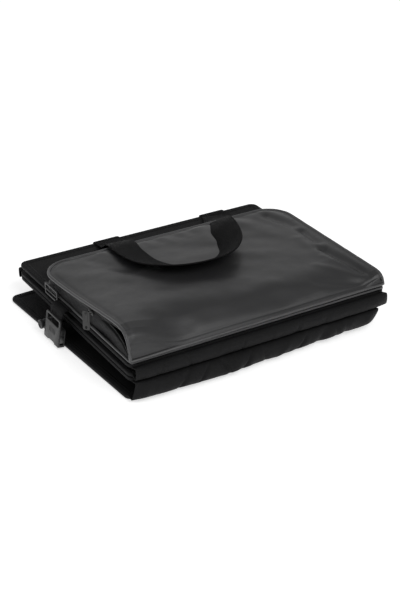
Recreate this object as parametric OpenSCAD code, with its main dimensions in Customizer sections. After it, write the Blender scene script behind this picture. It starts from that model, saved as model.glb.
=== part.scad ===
// Folding brochure rack, packed: four stiff panels folded zig-zag on fabric hinges, with
// document pockets between them, a zip pouch and carrying handle on the top panel, a side
// strap with a side-release buckle, and a telescopic pole stored in the lowest fold.
// X runs along the long side, +Y to the rear edge, +Z up. The origin is the centre of the
// face that the folded pack rests on.

/* [Panels] */
// Width of a panel, over its bound edges
panel_w = 370; // [320:1:450]
// Depth of a panel, hinge edge to hinge edge
panel_d = 310; // [290:1:380]
// Corner radius of a panel
panel_r = 10; // [5:1:20]
// Thickness of a covered panel
panel_t = 5.5; // [4.5:0.1:8]
// Thickness of the stiff board inside
board_t = 3; // [2:0.1:3.5]
// How far the board stops short of the panel's edge
board_inset = 12; // [8:0.5:20]
// Thickness of the binding tape
tape_t = 0.6; // [0.4:0.1:0.9]
// Width of the binding tape on each face
tape_w = 10; // [6:0.5:14]
// How far the lowest panel sits out to the left
base_shift = 10; // [0:1:14]

/* [Pockets] */
// Thickness of a document pocket when flat
pocket_t = 3; // [2.4:0.1:4]
// Thickness of the pocket's front sheet
pocket_sheet_t = 0.8; // [0.5:0.1:1.2]
// Width of the wide pocket, for a letter sheet
letter_w = 232; // [200:1:240]
// Width of the narrow pocket, for a folded leaflet
leaflet_w = 112; // [90:1:130]
// Height of both pockets
pocket_h = 236; // [200:1:250]
// Distance of a pocket's foot from the hinge edge
pocket_foot = 18; // [15:1:30]
// Width of the sewn strip along a pocket's sides and foot
pocket_seam_w = 7; // [4:0.5:12]

/* [Fold] */
// Space between neighbouring folded layers
layer_gap = 0.5; // [0.4:0.1:2]
// Height of the bay that the pole lies in
bay_h = 14.6; // [14.6:0.1:24]
// Distance of a fabric hinge's axis from the panels' edges
hinge_reach = 6; // [4:0.5:10]
// Thickness of the folded hinge fabric
hinge_cloth_t = 1.2; // [0.8:0.1:2]

/* [Pouch] */
// Height of the closed pouch over the top panel
pouch_h = 21; // [18:0.5:40]
// How much higher the pouch stands at its front left corner
pouch_rise = 15; // [8:0.5:20]
// Depth of the pouch, front to back
pouch_d = 250; // [200:1:255]
// Radius of the pouch's rear corners
pouch_r = 38; // [20:1:60]
// Radius of the lid's rolled front edge
roll_r = 14; // [12.5:0.5:16]
// Thickness of the leatherette with its lining
leather_t = 1.6; // [1:0.1:2.5]
// Radius of the piping
piping_r = 2; // [1.5:0.1:2.2]
// Height of the zip tape's lower edge under the lid's top
zip_drop = 8; // [6:0.5:9]
// Height of one row of zip teeth with its tape
zip_row_h = 2.2; // [1.8:0.1:2.8]
// Place of the zip slider from the pouch's front
slider_y = 94; // [60:1:140]

/* [Handle] */
// Width of the handle webbing
handle_w = 38; // [30:1:45]
// Thickness of the handle webbing
handle_t = 2; // [1.5:0.1:3]
// Distance of the handle's left end from the panel's left edge
handle_left = 130; // [90:1:140]
// Distance between the handle's two ends
handle_span = 168; // [140:1:180]
// Length of each sewn end of the handle
handle_tab_l = 36; // [25:1:45]

/* [Side strap] */
// Width of the side strap webbing
strap_w = 32; // [25:1:38]
// Thickness of the side strap webbing
strap_t = 1.6; // [1.2:0.1:2.2]
// Place of the side strap from the panel's front edge
strap_y = 170; // [120:1:172]
// Lean of the hanging strap away from the panels
strap_lean = 20; // [20:1:30]
// Length of the buckle's socket half
buckle_l = 36; // [33:0.5:38]
// Thickness of the buckle
buckle_t = 9; // [8:0.5:10]

/* [Pole] */
// Outside diameter of the pole's outer tube
pole_d = 11; // [10:0.1:11.2]
// Wall of each pole tube
pole_wall = 0.9; // [0.7:0.1:1.2]
// Running clearance on the radius between two tubes
pole_clear = 0.1; // [0.06:0.01:0.1]
// Length of each pole tube
pole_l = 340; // [280:1:345]
// How far the pole's cap stands out to the left of the panels
pole_out = 22; // [18:1:26]
// Place of the pole from the panel's front edge
pole_y = 200; // [199:1:230]

/* [Clearances] */
// Gap between sewn pieces that touch
sew_gap = 0.05; // [0.02:0.01:0.1]
// Gap between pieces that move past each other
move_gap = 0.4; // [0.3:0.05:0.6]

/* [Hidden] */
$fn = 48;

left = -panel_w / 2;
right = panel_w / 2;
front = -panel_d / 2;
rear = panel_d / 2;
big = 2 * panel_w;

// Heights of the folded stack
base_z = 0;
bay_z = base_z + panel_t;
second_pocket_z = bay_z + bay_h;
second_z = second_pocket_z + pocket_t;
third_z = second_z + panel_t + layer_gap;
third_pocket_z = third_z + panel_t;
top_pocket_z = third_pocket_z + pocket_t + layer_gap;
top_z = top_pocket_z + pocket_t;
deck_z = top_z + panel_t;

// Fabric hinges, each half-way between the two panel faces that it joins
hinge_lower_z = (bay_z + second_z) / 2;
hinge_middle_z = third_z - layer_gap / 2;
hinge_upper_z = (third_pocket_z + top_z) / 2;
front_axis_y = front - hinge_reach;
rear_axis_y = rear + hinge_reach;
edge_reach = hinge_reach + tape_t;
function hinge_radius(half_gap) = sqrt(pow(edge_reach, 2) + pow(half_gap, 2)) - move_gap;

// Pouch outline, inside the piping
skin_w = panel_w - 4 * piping_r;
skin_front = front + 2 * piping_r;
skin_d = pouch_d - 4 * piping_r;
skin_r = pouch_r - 2 * piping_r;
zip_bottom = pouch_h - zip_drop;
gusset_h = zip_bottom - zip_row_h;
zip_top = zip_bottom + zip_row_h;
left_run = skin_d - skin_r - roll_r;
left_slope = atan(pouch_rise / left_run);
// How far the left side's line stands above the right side's, y from the pouch's front
function side_rise(y) = pouch_rise * (1 - (y - roll_r) / left_run);

// Side strap: hangs from the top panel's left edge
strap_axis = [left - 1.3, front + strap_y, deck_z + 0.6];
strap_drop = 11;

// Pole: lies along X in the bay
loop_t = 0.8;
pole_z = bay_z + loop_t + sew_gap + pole_d / 2;
pole_left = left - pole_out;
cap_l = 14;
middle_d = pole_d - 2 * pole_wall - 2 * pole_clear;
inner_d = middle_d - 2 * pole_wall - 2 * pole_clear;

// ---------------------------------------------------------------- shared shapes

module rounded_rect(w, d, r) {
    square([w - 2 * r, d], center = true);
    square([w, d - 2 * r], center = true);
    for (sx = [-1, 1], sy = [-1, 1])
        translate([sx * (w / 2 - r), sy * (d / 2 - r)]) circle(r);
}

// Which edges are bound: both sides always, and the front or rear edge where it is free
module bound_band(grow, free_front, free_rear) {
    inner_w = panel_w - 2 * tape_w - 2 * grow;
    low = free_front ? front + tape_w + grow : -panel_d;
    high = free_rear ? rear - tape_w - grow : panel_d;
    difference() {
        rounded_rect(panel_w + 2 * grow, panel_d + 2 * grow, panel_r);
        translate([-inner_w / 2, low]) square([inner_w, high - low]);
    }
}

module panel_board(z) {
    color("saddlebrown") translate([0, 0, z + (panel_t - board_t) / 2])
        linear_extrude(board_t)
            rounded_rect(panel_w - 2 * board_inset, panel_d - 2 * board_inset, panel_r / 2);
}

module panel_cover(z, free_front, free_rear) {
    w = panel_w - 2 * tape_t - 2 * sew_gap;
    pocket = [panel_w - 2 * board_inset + 2 * sew_gap, panel_d - 2 * board_inset + 2 * sew_gap];
    rebate = tape_t + sew_gap;
    color([0.1, 0.1, 0.11]) translate([0, 0, z]) difference() {
        linear_extrude(panel_t) rounded_rect(w, panel_d - 2 * tape_t, panel_r - tape_t);
        translate([0, 0, (panel_t - board_t) / 2 - sew_gap])
            linear_extrude(board_t + 2 * sew_gap)
                rounded_rect(pocket[0], pocket[1], panel_r / 2);
        for (level = [-1, panel_t - rebate])
            translate([0, 0, level]) linear_extrude(1 + rebate)
                bound_band(sew_gap, free_front, free_rear);
    }
}

module panel_binding(z, free_front, free_rear) {
    color([0.06, 0.06, 0.07]) translate([0, 0, z]) difference() {
        linear_extrude(panel_t) bound_band(0, free_front, free_rear);
        translate([0, 0, tape_t]) linear_extrude(panel_t - 2 * tape_t)
            rounded_rect(panel_w - 2 * tape_t, panel_d - 2 * tape_t + sew_gap, panel_r - tape_t);
    }
}

// A flat pocket: front sheet over a sewn strip along both sides and the foot. It opens at +Y
module flat_pocket(w) {
    rise = pocket_t - pocket_sheet_t - sew_gap;
    translate([0, 0, pocket_t - pocket_sheet_t])
        linear_extrude(pocket_sheet_t) square([w, pocket_h]);
    cube([w, pocket_seam_w, rise]);
    for (x = [0, w - pocket_seam_w])
        translate([x, pocket_seam_w + sew_gap, 0])
            cube([pocket_seam_w, pocket_h - pocket_seam_w - sew_gap, rise]);
}

// Pockets stand on the upper face (side = 1) or hang under the lower face (side = -1)
module placed_pocket(z, side, mouth, wide) {
    space = (panel_w - 2 * tape_w - letter_w - leaflet_w) / 3;
    w = wide ? letter_w : leaflet_w;
    x = wide ? left + tape_w + space : right - tape_w - space - leaflet_w;
    color([0.12, 0.12, 0.13])
        translate([x, -mouth * (panel_d / 2 - pocket_foot), z + sew_gap * side])
            mirror([0, mouth < 0 ? 1 : 0, 0])
                mirror([0, 0, side < 0 ? 1 : 0]) flat_pocket(w);
}

// Folded hinge fabric: a round strip about the hinge's axis, open towards the two panels
module hinge_strip(y, z, half_gap, outward) {
    r = hinge_radius(half_gap);
    length = panel_w - 2 * tape_w - 2 * move_gap;
    mouth_y = edge_reach - move_gap;
    color([0.09, 0.09, 0.1]) translate([-length / 2, y, z]) rotate([90, 0, 90])
        difference() {
            cylinder(r = r, h = length);
            translate([0, 0, -1]) cylinder(r = r - hinge_cloth_t, h = length + 2);
            translate([outward < 0 ? mouth_y : -mouth_y - 2 * r, -2 * r, -1])
                cube([2 * r, 4 * r, length + 2]);
        }
}

// Side outline of the pouch: its top line lies pouch_h - h under the lid's, and starts
// rise higher at the front. The front corner is rolled
module side_outline(h, rise) {
    inset = pouch_h - h;
    r = max(roll_r - inset, 1);
    start = skin_front + inset;
    top = h + rise;
    translate([start, 0]) polygon([
        [0, 0], [0, top - r], [r, top], [skin_d - skin_r - inset, h], [panel_d, h], [panel_d, 0]
    ]);
    translate([start + r, top - r]) circle(r);
}

// The space under a line across the whole pouch, higher at the left than at the right
module under_line(h) {
    translate([0, 0, deck_z]) hull()
        for (s = [0, 1])
            translate([s * panel_w - panel_w / 2 - (1 - s), 0, 0]) rotate([90, 0, 90])
                linear_extrude(1) side_outline(h, (1 - s) * pouch_rise);
}

// The same for one side wall alone, as a true prism
module side_solid(h, rise) {
    translate([-big / 2, 0, deck_z]) rotate([90, 0, 90]) linear_extrude(big)
        side_outline(h, rise);
}

// Plan of the pouch: square at the front, round at the two rear corners
module pouch_plan(inset) {
    w = skin_w - 2 * inset;
    r = skin_r - inset;
    translate([-w / 2, skin_front + inset]) {
        square([w, skin_d - inset - r - inset]);
        translate([r, 0]) square([w - 2 * r, skin_d - 2 * inset]);
        for (x = [r, w - r]) translate([x, skin_d - 2 * inset - r]) circle(r);
    }
}

module pouch_wall(thickness) {
    wall_h = pouch_h + pouch_rise;
    translate([0, 0, deck_z]) difference() {
        linear_extrude(wall_h) pouch_plan(0);
        translate([0, 0, -1]) linear_extrude(wall_h + 2) pouch_plan(thickness);
        translate([-big / 2, skin_front - 1, -1]) cube([big, thickness + 1, wall_h + 2]);
    }
}

// A band of the pouch's side and rear walls between two lines, open at the front. The left
// side follows the rising line
module wall_band(low, high, thickness) {
    for (s = [-1, 1]) difference() {
        intersection() {
            pouch_wall(thickness);
            side_solid(high, s < 0 ? pouch_rise : 0);
            translate([s < 0 ? -big : -skin_w / 2 + thickness, -big / 2, 0])
                cube([s < 0 ? big - skin_w / 2 + thickness : big, big, big]);
        }
        if (low > 0) side_solid(low, s < 0 ? pouch_rise : 0);
    }
}

module round_bar(length, r) { rotate([0, 90, 0]) cylinder(r = r, h = length); }

// Piping along the pouch's two sides and rear at height z, between y_start and the rear
module side_piping(y_start, z, r, slope = 0) {
    side_l = skin_front + skin_d - skin_r - y_start;
    edge = skin_w / 2 + piping_r;
    back = skin_front + skin_d + piping_r;
    for (s = [-1, 1]) translate([s * edge, y_start + side_l, z])
        rotate([90 + (s < 0 ? -slope : 0), 0, 0])
            cylinder(r = r, h = s < 0 ? side_l / cos(slope) : side_l);
    for (s = [0, 1]) mirror([s, 0, 0])
        translate([edge - skin_r - piping_r, back - skin_r - piping_r, z])
            rotate_extrude(angle = 90) translate([skin_r + piping_r, 0]) circle(r);
    translate([-edge + skin_r + piping_r, back, z]) round_bar(2 * (edge - skin_r - piping_r), r);
}

// ---------------------------------------------------------------- lowest panel

module at_base() { translate([-base_shift, 0, 0]) children(); }
module base_board() { at_base() panel_board(base_z); }
module base_cover() { at_base() panel_cover(base_z, false, true); }
module base_binding() { at_base() panel_binding(base_z, false, true); }

// Three elastic loops, sewn to the lowest panel, hold the pole
module pole_loops() {
    loop_w = 20;
    r = pole_d / 2 + sew_gap + loop_t;
    foot = [loop_w, 8, loop_t];
    color([0.15, 0.15, 0.16])
        for (x = [left + 45, -loop_w / 2, right - 65]) translate([x, front + pole_y, 0]) {
            difference() {
                union() {
                    translate([0, 0, pole_z]) round_bar(loop_w, r);
                    translate([0, -r - foot[1], bay_z + sew_gap])
                        cube([loop_w, 2 * r + 2 * foot[1], loop_t]);
                }
                translate([-1, 0, pole_z]) round_bar(loop_w + 2, r - loop_t);
                translate([-1, -r - 1, 0]) cube([loop_w + 2, 2 * r + 2, bay_z + sew_gap]);
            }
        }
}

module hinge_lower() {
    hinge_strip(front_axis_y, hinge_lower_z, (second_z - bay_z) / 2, -1);
}

// ---------------------------------------------------------------- second panel

module second_board() { panel_board(second_z); }
module second_cover() { panel_cover(second_z, false, false); }
module second_binding() { panel_binding(second_z, false, false); }
module second_letter_pocket() { placed_pocket(second_z, -1, 1, true); }
module second_leaflet_pocket() { placed_pocket(second_z, -1, 1, false); }
module hinge_middle() { hinge_strip(rear_axis_y, hinge_middle_z, layer_gap / 2, 1); }

// ---------------------------------------------------------------- third panel

module third_board() { panel_board(third_z); }
module third_cover() { panel_cover(third_z, false, false); }
module third_binding() { panel_binding(third_z, false, false); }
module third_letter_pocket() { placed_pocket(third_pocket_z, 1, -1, true); }
module third_leaflet_pocket() { placed_pocket(third_pocket_z, 1, -1, false); }
module hinge_upper() {
    hinge_strip(front_axis_y, hinge_upper_z, (top_z - third_pocket_z) / 2, -1);
}

// ---------------------------------------------------------------- top panel

module top_board() { panel_board(top_z); }
module top_cover() { panel_cover(top_z, false, true); }
module top_binding() { panel_binding(top_z, false, true); }
module top_letter_pocket() { placed_pocket(top_z, -1, 1, true); }
module top_leaflet_pocket() { placed_pocket(top_z, -1, 1, false); }

// Opening in the pouch's foot that the side strap passes through
module strap_slot() {
    translate([left - 1, front + strap_y - strap_w / 2 - 1, deck_z - 1])
        cube([30, strap_w + 2, 1 + strap_t + 2 * sew_gap]);
}

module pouch_gusset() {
    color([0.16, 0.16, 0.17]) difference() {
        wall_band(0, gusset_h, leather_t);
        translate([-big / 2, front, deck_z - 1]) cube([big, panel_d, 1 + sew_gap]);
        strap_slot();
    }
}

module pouch_lower_piping() {
    start = skin_front + pouch_h - gusset_h;
    color([0.13, 0.13, 0.14]) difference() {
        side_piping(start, deck_z + piping_r, piping_r - sew_gap);
        strap_slot();
    }
}

module zip_lower_row() { color([0.05, 0.05, 0.05]) wall_band(gusset_h, zip_bottom, leather_t); }

// Sewn ends of the handle, flat on the panel's rear border
module handle_tabs() {
    color([0.08, 0.08, 0.08])
        for (x = [0, handle_span])
            translate([left + handle_left + x - handle_w / 2, rear - handle_tab_l - 3, deck_z + sew_gap])
                cube([handle_w, handle_tab_l, handle_t]);
}

module strap_anchor() {
    color([0.08, 0.08, 0.08])
        translate([left - 0.8, front + strap_y - strap_w / 2, deck_z + sew_gap])
            cube([26, strap_w, strap_t]);
}

// Three-bar adjuster for the strap's loose end, upright against the panel's edge
module strap_adjuster() {
    size = [2.4, 36, 16];
    bar = 2.6;
    slot_h = (size[2] - 3 * bar) / 2;
    color([0.1, 0.1, 0.1])
        translate([left - size[0] - move_gap, front + strap_y + strap_w / 2 + 1.2, deck_z - 5])
            difference() {
                cube(size);
                for (z = [bar, 2 * bar + slot_h])
                    translate([-1, bar, z]) cube([size[0] + 2, size[1] - 2 * bar, slot_h]);
            }
}

// ---------------------------------------------------------------- pouch lid

module pouch_lid() {
    inner = pouch_h - leather_t;
    tall = pouch_h + pouch_rise;
    color([0.27, 0.27, 0.28]) difference() {
        intersection() {
            translate([0, 0, deck_z + 2 * piping_r]) linear_extrude(tall) pouch_plan(0);
            under_line(pouch_h);
        }
        intersection() {
            translate([0, 0, deck_z - 1]) linear_extrude(tall + 2) pouch_plan(leather_t);
            under_line(inner);
        }
        under_line(zip_top + 6 * sew_gap);
    }
}

// Piping round the lid: up each front corner, along the sides, and across the rear
module pouch_lid_piping() {
    r = piping_r - sew_gap;
    edge = skin_w / 2 + piping_r;
    bend_r = roll_r + piping_r;
    lip_z = deck_z + 3 * piping_r;
    top_piping_z = deck_z + pouch_h - piping_r;
    bend_y = skin_front + roll_r;
    front_y = bend_y - bend_r;
    color([0.33, 0.33, 0.34]) {
        side_piping(bend_y, top_piping_z, r, left_slope);
        for (s = [-1, 1]) {
            rise = s < 0 ? side_rise(roll_r) : 0;
            bend_z = top_piping_z - bend_r + rise;
            translate([s * edge, bend_y, bend_z]) rotate([90, 0, -90])
                rotate_extrude(angle = 90) translate([bend_r, 0]) circle(r);
            translate([s * edge, front_y, lip_z])
                cylinder(r = r, h = max(bend_z - lip_z, 0.1));
            translate([s * edge, front_y, lip_z]) sphere(r = r);
        }
        translate([-edge, front_y, lip_z]) round_bar(2 * edge, r);
    }
}

module zip_upper_row() {
    color([0.05, 0.05, 0.05]) difference() {
        wall_band(zip_bottom + sew_gap, zip_top, leather_t);
        translate([-big / 2, -big / 2, deck_z - 1]) cube([big, big, 1 + 2 * piping_r]);
    }
}

// Zip slider on the left side: a plate over the teeth with a bail for its pull
slider_l = 12;
slider_plate_t = 1.2;
pull_t = 1.6;
pull_x = left - move_gap;
slider_z = deck_z + zip_bottom + side_rise(slider_y);

module zip_slider() {
    plate_x = -skin_w / 2 - move_gap;
    bail_x = pull_x - pull_t - 1.6;
    color([0.1, 0.1, 0.1]) translate([0, skin_front + slider_y, slider_z]) {
        translate([plate_x - slider_plate_t, 0, 0]) rotate([-left_slope, 0, 0])
            translate([0, 0, -4]) cube([slider_plate_t, slider_l, 6.5]);
        translate([bail_x, slider_l / 2 - 1.2, -3]) difference() {
            cube([plate_x - slider_plate_t / 2 - bail_x, 2.4, 5]);
            translate([1, -1, 1.2]) cube([pull_x - bail_x - 0.6, 5, 2.6]);
        }
    }
}

// Zip pull: a tab with a hole at each end, hanging from the slider's bail
module zip_pull() {
    w = 6.5;
    l = 24;
    hole = [4.2, 3.4];
    color([0.12, 0.12, 0.12])
        translate([pull_x - pull_t, skin_front + slider_y + slider_l / 2, slider_z + 0.15])
            rotate([0, 90, 0]) difference() {
                union() {
                    translate([0, -w / 2, 0]) cube([l - w / 2, w, pull_t]);
                    translate([l - w / 2, 0, 0]) cylinder(r = w / 2, h = pull_t);
                }
                translate([1.3, -hole[1] / 2, -1]) cube([hole[0], hole[1], pull_t + 2]);
                translate([l - w / 2, 0, -1]) cylinder(r = 1.6, h = pull_t + 2);
            }
}

// ---------------------------------------------------------------- handle

// Stations along the handle: x from its left end, y from the rear edge, z over the pouch's
// deck, then the direction of the webbing's outer edge as [x, y, z]
handle_stations = [
    [0, -5, 5, -1, 0, 0],
    [-3, -22, 16, -1, 0, 0],
    [-12, -55, 28, -1, 0, 0.05],
    [-22, -95, 31, -1, -0.1, 0.1],
    [-18, -135, 37, -0.8, -0.5, 0.25],
    [10, -162, 42, -0.35, -0.8, 0.45],
    [50, -174, 42, 0, -0.85, 0.53],
    [95, -165, 40, 0.35, -0.75, 0.5],
    [128, -135, 36, 0.75, -0.4, 0.3],
    [142, -95, 32, 1, -0.1, 0.1],
    [152, -55, 28, 1, 0, 0],
    [164, -22, 16, 1, 0, 0],
    [168, -5, 5, 1, 0, 0]
];
stations_n = len(handle_stations);
steps = 3;

function station(i) = handle_stations[max(0, min(stations_n - 1, i))];
function curve(a, b, c, d, t) =
    0.5 * (2 * b + (c - a) * t + (2 * a - 5 * b + 4 * c - d) * t * t
        + (3 * b - a - 3 * c + d) * t * t * t);
function along(u) =
    let (i = min(stations_n - 2, floor(u)))
        curve(station(i - 1), station(i), station(i + 1), station(i + 2), u - i);
function unit(v) = v / norm(v);
// The stations are set for a pouch of 36 at its highest; past the ends they rise with it
function handle_lift(z) = (pouch_h + pouch_rise - 36) * min(1, (z - 5) / 11);
function handle_point(s) =
    [left + handle_left + s[0] * handle_span / 168, rear + s[1], deck_z + s[2] + handle_lift(s[2])];
function handle_ring(u) =
    let (
        s = along(u),
        ahead = handle_point(along(min(u + 0.05, stations_n - 1)))
            - handle_point(along(max(u - 0.05, 0))),
        go = unit(ahead),
        rough = [s[3], s[4], s[5]],
        across = unit(rough - go * (rough * go)),
        up = cross(across, go),
        c = handle_point(s)
    )
    [for (k = [[-1, -1], [1, -1], [1, 1], [-1, 1]])
        c + across * k[0] * handle_w / 2 + up * k[1] * handle_t / 2];

module handle_strap() {
    rings = (stations_n - 1) * steps + 1;
    points = [for (i = [0 : rings - 1]) for (p = handle_ring(i / steps)) p];
    faces = concat(
        [[0, 1, 2, 3]],
        [for (i = [0 : rings - 2]) for (k = [0 : 3])
            [4 * i + k, 4 * i + 4 + k, 4 * i + 4 + (k + 1) % 4]],
        [for (i = [0 : rings - 2]) for (k = [0 : 3])
            [4 * i + k, 4 * i + 4 + (k + 1) % 4, 4 * i + (k + 1) % 4]],
        [[4 * rings - 1, 4 * rings - 2, 4 * rings - 3, 4 * rings - 4]]);
    color([0.1, 0.1, 0.1]) polyhedron(points = points, faces = faces, convexity = 6);
}

// ---------------------------------------------------------------- side strap and buckle

module at_strap() { translate(strap_axis) rotate([0, strap_lean, 0]) children(); }

// The strap hangs from the panel's edge to the buckle's bar
module side_strap() {
    color([0.08, 0.08, 0.08]) at_strap()
        translate([-strap_t, -strap_w / 2, -strap_drop - 4])
            cube([strap_t, strap_w, strap_drop + 3.4]);
}

// Socket half: flat body with a webbing bar above and two open side notches, mouth down
module buckle_socket() {
    w = strap_w + 9;
    bar = 3;
    frame_l = 12;
    body_l = buckle_l - frame_l;
    wall = 1.8;
    x = -strap_t / 2 - buckle_t / 2;
    color([0.13, 0.13, 0.14]) at_strap() translate([x, -w / 2, -strap_drop - buckle_l]) {
        difference() {
            cube([buckle_t, w, body_l]);
            translate([wall, 5, -1]) cube([buckle_t - 2 * wall, w - 10, body_l - wall]);
            for (y = [-1, w - 6]) translate([wall, y, 4]) cube([buckle_t - 2 * wall, 7, 12]);
        }
        translate([0, 0, body_l]) difference() {
            cube([buckle_t / 2 - strap_t / 2 - sew_gap, w, frame_l]);
            translate([-1, (w - strap_w) / 2, bar])
                cube([buckle_t, strap_w, frame_l - 2 * bar]);
        }
    }
}

// ---------------------------------------------------------------- closing strap in the bay

closing_z = bay_z + move_gap;
plug_t = 5;
closing_y = front + strap_y - strap_w / 2 - 29;

module closing_strap() {
    color([0.08, 0.08, 0.08])
        translate([left + 34, closing_y - strap_w / 2, closing_z + plug_t + sew_gap])
            cube([150, strap_w, strap_t]);
}

// Plug half: a webbing bar with two spring arms and a centre tongue
module buckle_plug() {
    bar_l = 12;
    arm_l = 22;
    t = plug_t;
    w = strap_w + 8;
    color([0.13, 0.13, 0.14]) translate([left + 12, closing_y, closing_z]) {
        difference() {
            translate([arm_l, -w / 2, 0]) cube([bar_l, w, t]);
            translate([arm_l + 3, -strap_w / 2, -1]) cube([bar_l - 6, strap_w, t + 2]);
        }
        for (s = [-1, 1]) translate([0, s * (w / 2 - 7) - 1.5, 0.5]) cube([arm_l, 3, t - 1]);
        translate([3, -3, 1]) cube([arm_l - 3, 6, t - 2]);
    }
}

// ---------------------------------------------------------------- telescopic pole

module pole_tube(x, d, length, wall) {
    color([0.2, 0.2, 0.21]) translate([x, front + pole_y, pole_z]) difference() {
        round_bar(length, d / 2);
        translate([-1, 0, 0]) round_bar(length + 2, d / 2 - wall);
    }
}

module pole_outer_tube() { pole_tube(pole_left + 2, pole_d, pole_l, pole_wall); }

module pole_middle_tube() {
    pole_tube(pole_left + cap_l, middle_d, pole_l - cap_l + 4, pole_wall);
}

module pole_inner_tube() {
    pole_tube(pole_left + cap_l + 1, inner_d, pole_l - cap_l + 5, pole_wall);
}

// Plug of the pole's foot: a flange with a shallow round recess, and a spigot in the tube
module pole_end_cap() {
    color([0.09, 0.09, 0.1]) translate([pole_left, front + pole_y, pole_z]) difference() {
        union() {
            translate([-1, 0, 0]) round_bar(3 - sew_gap, pole_d / 2 + 0.6);
            round_bar(cap_l - 1, pole_d / 2 - pole_wall - sew_gap);
        }
        translate([-2, 0, 0]) round_bar(2, pole_d / 2 - 2);
    }
}

module pole_top_plug() {
    x = pole_left + cap_l + 1 + pole_l - cap_l + 5;
    color([0.09, 0.09, 0.1]) translate([x, front + pole_y, pole_z]) {
        translate([-8, 0, 0]) round_bar(9, inner_d / 2 - pole_wall - sew_gap);
        translate([sew_gap, 0, 0]) round_bar(6, inner_d / 2 - 0.2);
    }
}

base_board();
base_cover();
base_binding();
pole_loops();
hinge_lower();
second_board();
second_cover();
second_binding();
second_letter_pocket();
second_leaflet_pocket();
hinge_middle();
third_board();
third_cover();
third_binding();
third_letter_pocket();
third_leaflet_pocket();
hinge_upper();
top_board();
top_cover();
top_binding();
top_letter_pocket();
top_leaflet_pocket();
pouch_gusset();
pouch_lower_piping();
zip_lower_row();
handle_tabs();
strap_anchor();
strap_adjuster();
pouch_lid();
pouch_lid_piping();
zip_upper_row();
zip_slider();
zip_pull();
handle_strap();
side_strap();
buckle_socket();
closing_strap();
buckle_plug();
pole_outer_tube();
pole_end_cap();
pole_middle_tube();
pole_inner_tube();
pole_top_plug();
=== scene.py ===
import math
import bpy
import bmesh
import numpy as np
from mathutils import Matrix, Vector, noise


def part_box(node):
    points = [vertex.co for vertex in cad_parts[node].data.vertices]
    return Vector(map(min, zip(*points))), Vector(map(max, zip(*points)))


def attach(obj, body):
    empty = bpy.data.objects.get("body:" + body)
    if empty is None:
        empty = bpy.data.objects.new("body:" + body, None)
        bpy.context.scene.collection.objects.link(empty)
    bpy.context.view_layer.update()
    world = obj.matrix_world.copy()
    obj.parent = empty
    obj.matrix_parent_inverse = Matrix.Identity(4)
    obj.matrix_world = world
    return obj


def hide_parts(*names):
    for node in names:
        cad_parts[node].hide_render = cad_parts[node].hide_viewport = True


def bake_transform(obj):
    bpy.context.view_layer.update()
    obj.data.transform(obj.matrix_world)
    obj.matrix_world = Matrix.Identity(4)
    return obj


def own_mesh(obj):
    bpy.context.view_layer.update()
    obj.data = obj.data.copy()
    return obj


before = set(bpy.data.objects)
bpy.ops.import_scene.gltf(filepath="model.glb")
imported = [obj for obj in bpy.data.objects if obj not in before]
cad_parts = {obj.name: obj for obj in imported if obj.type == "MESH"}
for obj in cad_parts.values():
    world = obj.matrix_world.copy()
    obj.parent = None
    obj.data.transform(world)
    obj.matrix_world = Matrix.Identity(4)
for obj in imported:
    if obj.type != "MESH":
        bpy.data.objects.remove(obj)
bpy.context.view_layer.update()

# ------------------------------------------------------------------ the table it lies on
# The folded rack lies on a bright white table. The strongest soft lamp stands in front, and
# weaker ones behind and at the left. The camera looks down on the rack's front left corner.
MM = 0.001
TABLE_HALF, TABLE_DROP = 9, -0.0004
LAMPS = (((0.9, 2.3, 1.45), 2.6, 7.5), ((-1.8, 0.1, 1.7), 1.4, 6), ((0.4, -1.9, 1.9), 1.7, 30))
scene = bpy.context.scene
scene.view_settings.view_transform = "Standard"


def link(obj):
    scene.collection.objects.link(obj)
    return obj


eye = Vector((-829.4, -1385.1, 884.1)) * MM
target = Vector((-33.3, -58.8, 46.6)) * MM
camera = link(bpy.data.objects.new("camera", bpy.data.cameras.new("camera")))
camera.location = eye
camera.rotation_euler = (target - eye).to_track_quat("-Z", "Y").to_euler()
camera.data.lens = 84
camera.data.clip_end = 50
scene.camera = camera

table_finish = bpy.data.materials.new("table_white")
table_finish.use_nodes = True
table_shader = table_finish.node_tree.nodes["Principled BSDF"]
for socket, value in (("Base Color", (0.93, 0.93, 0.93, 1)), ("Roughness", 0.9), ("Specular IOR Level", 0.1),
                      ("Emission Color", (1, 1, 1, 1)), ("Emission Strength", 0.58)):
    table_shader.inputs[socket].default_value = value
table_mesh = bpy.data.meshes.new("table")
table_corners = ((-1, -1), (1, -1), (1, 1), (-1, 1))
table_mesh.from_pydata([(x * TABLE_HALF, y * TABLE_HALF, TABLE_DROP) for x, y in table_corners],
                       [], [(0, 1, 2, 3)])
table_mesh.materials.append(table_finish)
link(bpy.data.objects.new("table", table_mesh))

world = bpy.data.worlds.new("room")
world.use_nodes = True
world.node_tree.nodes["Background"].inputs["Color"].default_value = (1, 1, 1, 1)
world.node_tree.nodes["Background"].inputs["Strength"].default_value = 0.30
scene.world = world
for place, size, power in LAMPS:
    lamp = bpy.data.lights.new("softbox", "AREA")
    lamp.size = size
    lamp.energy = power
    lamp_object = link(bpy.data.objects.new("softbox", lamp))
    lamp_object.location = place
    lamp_object.rotation_euler = (-Vector(place)).to_track_quat("-Z", "Y").to_euler()

# ------------------------------------------------------------------ panel covers
# Four stiff boards, each sewn into a sleeve of black nylon cloth. The cloth is drawn tight,
# with shallow waves where it is pulled over the board. The CAD boards stay inside.
PANEL_W, PANEL_D, PANEL_R, PANEL_T = 370, 310, 10, 5.5
BASE_SHIFT = 12


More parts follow.
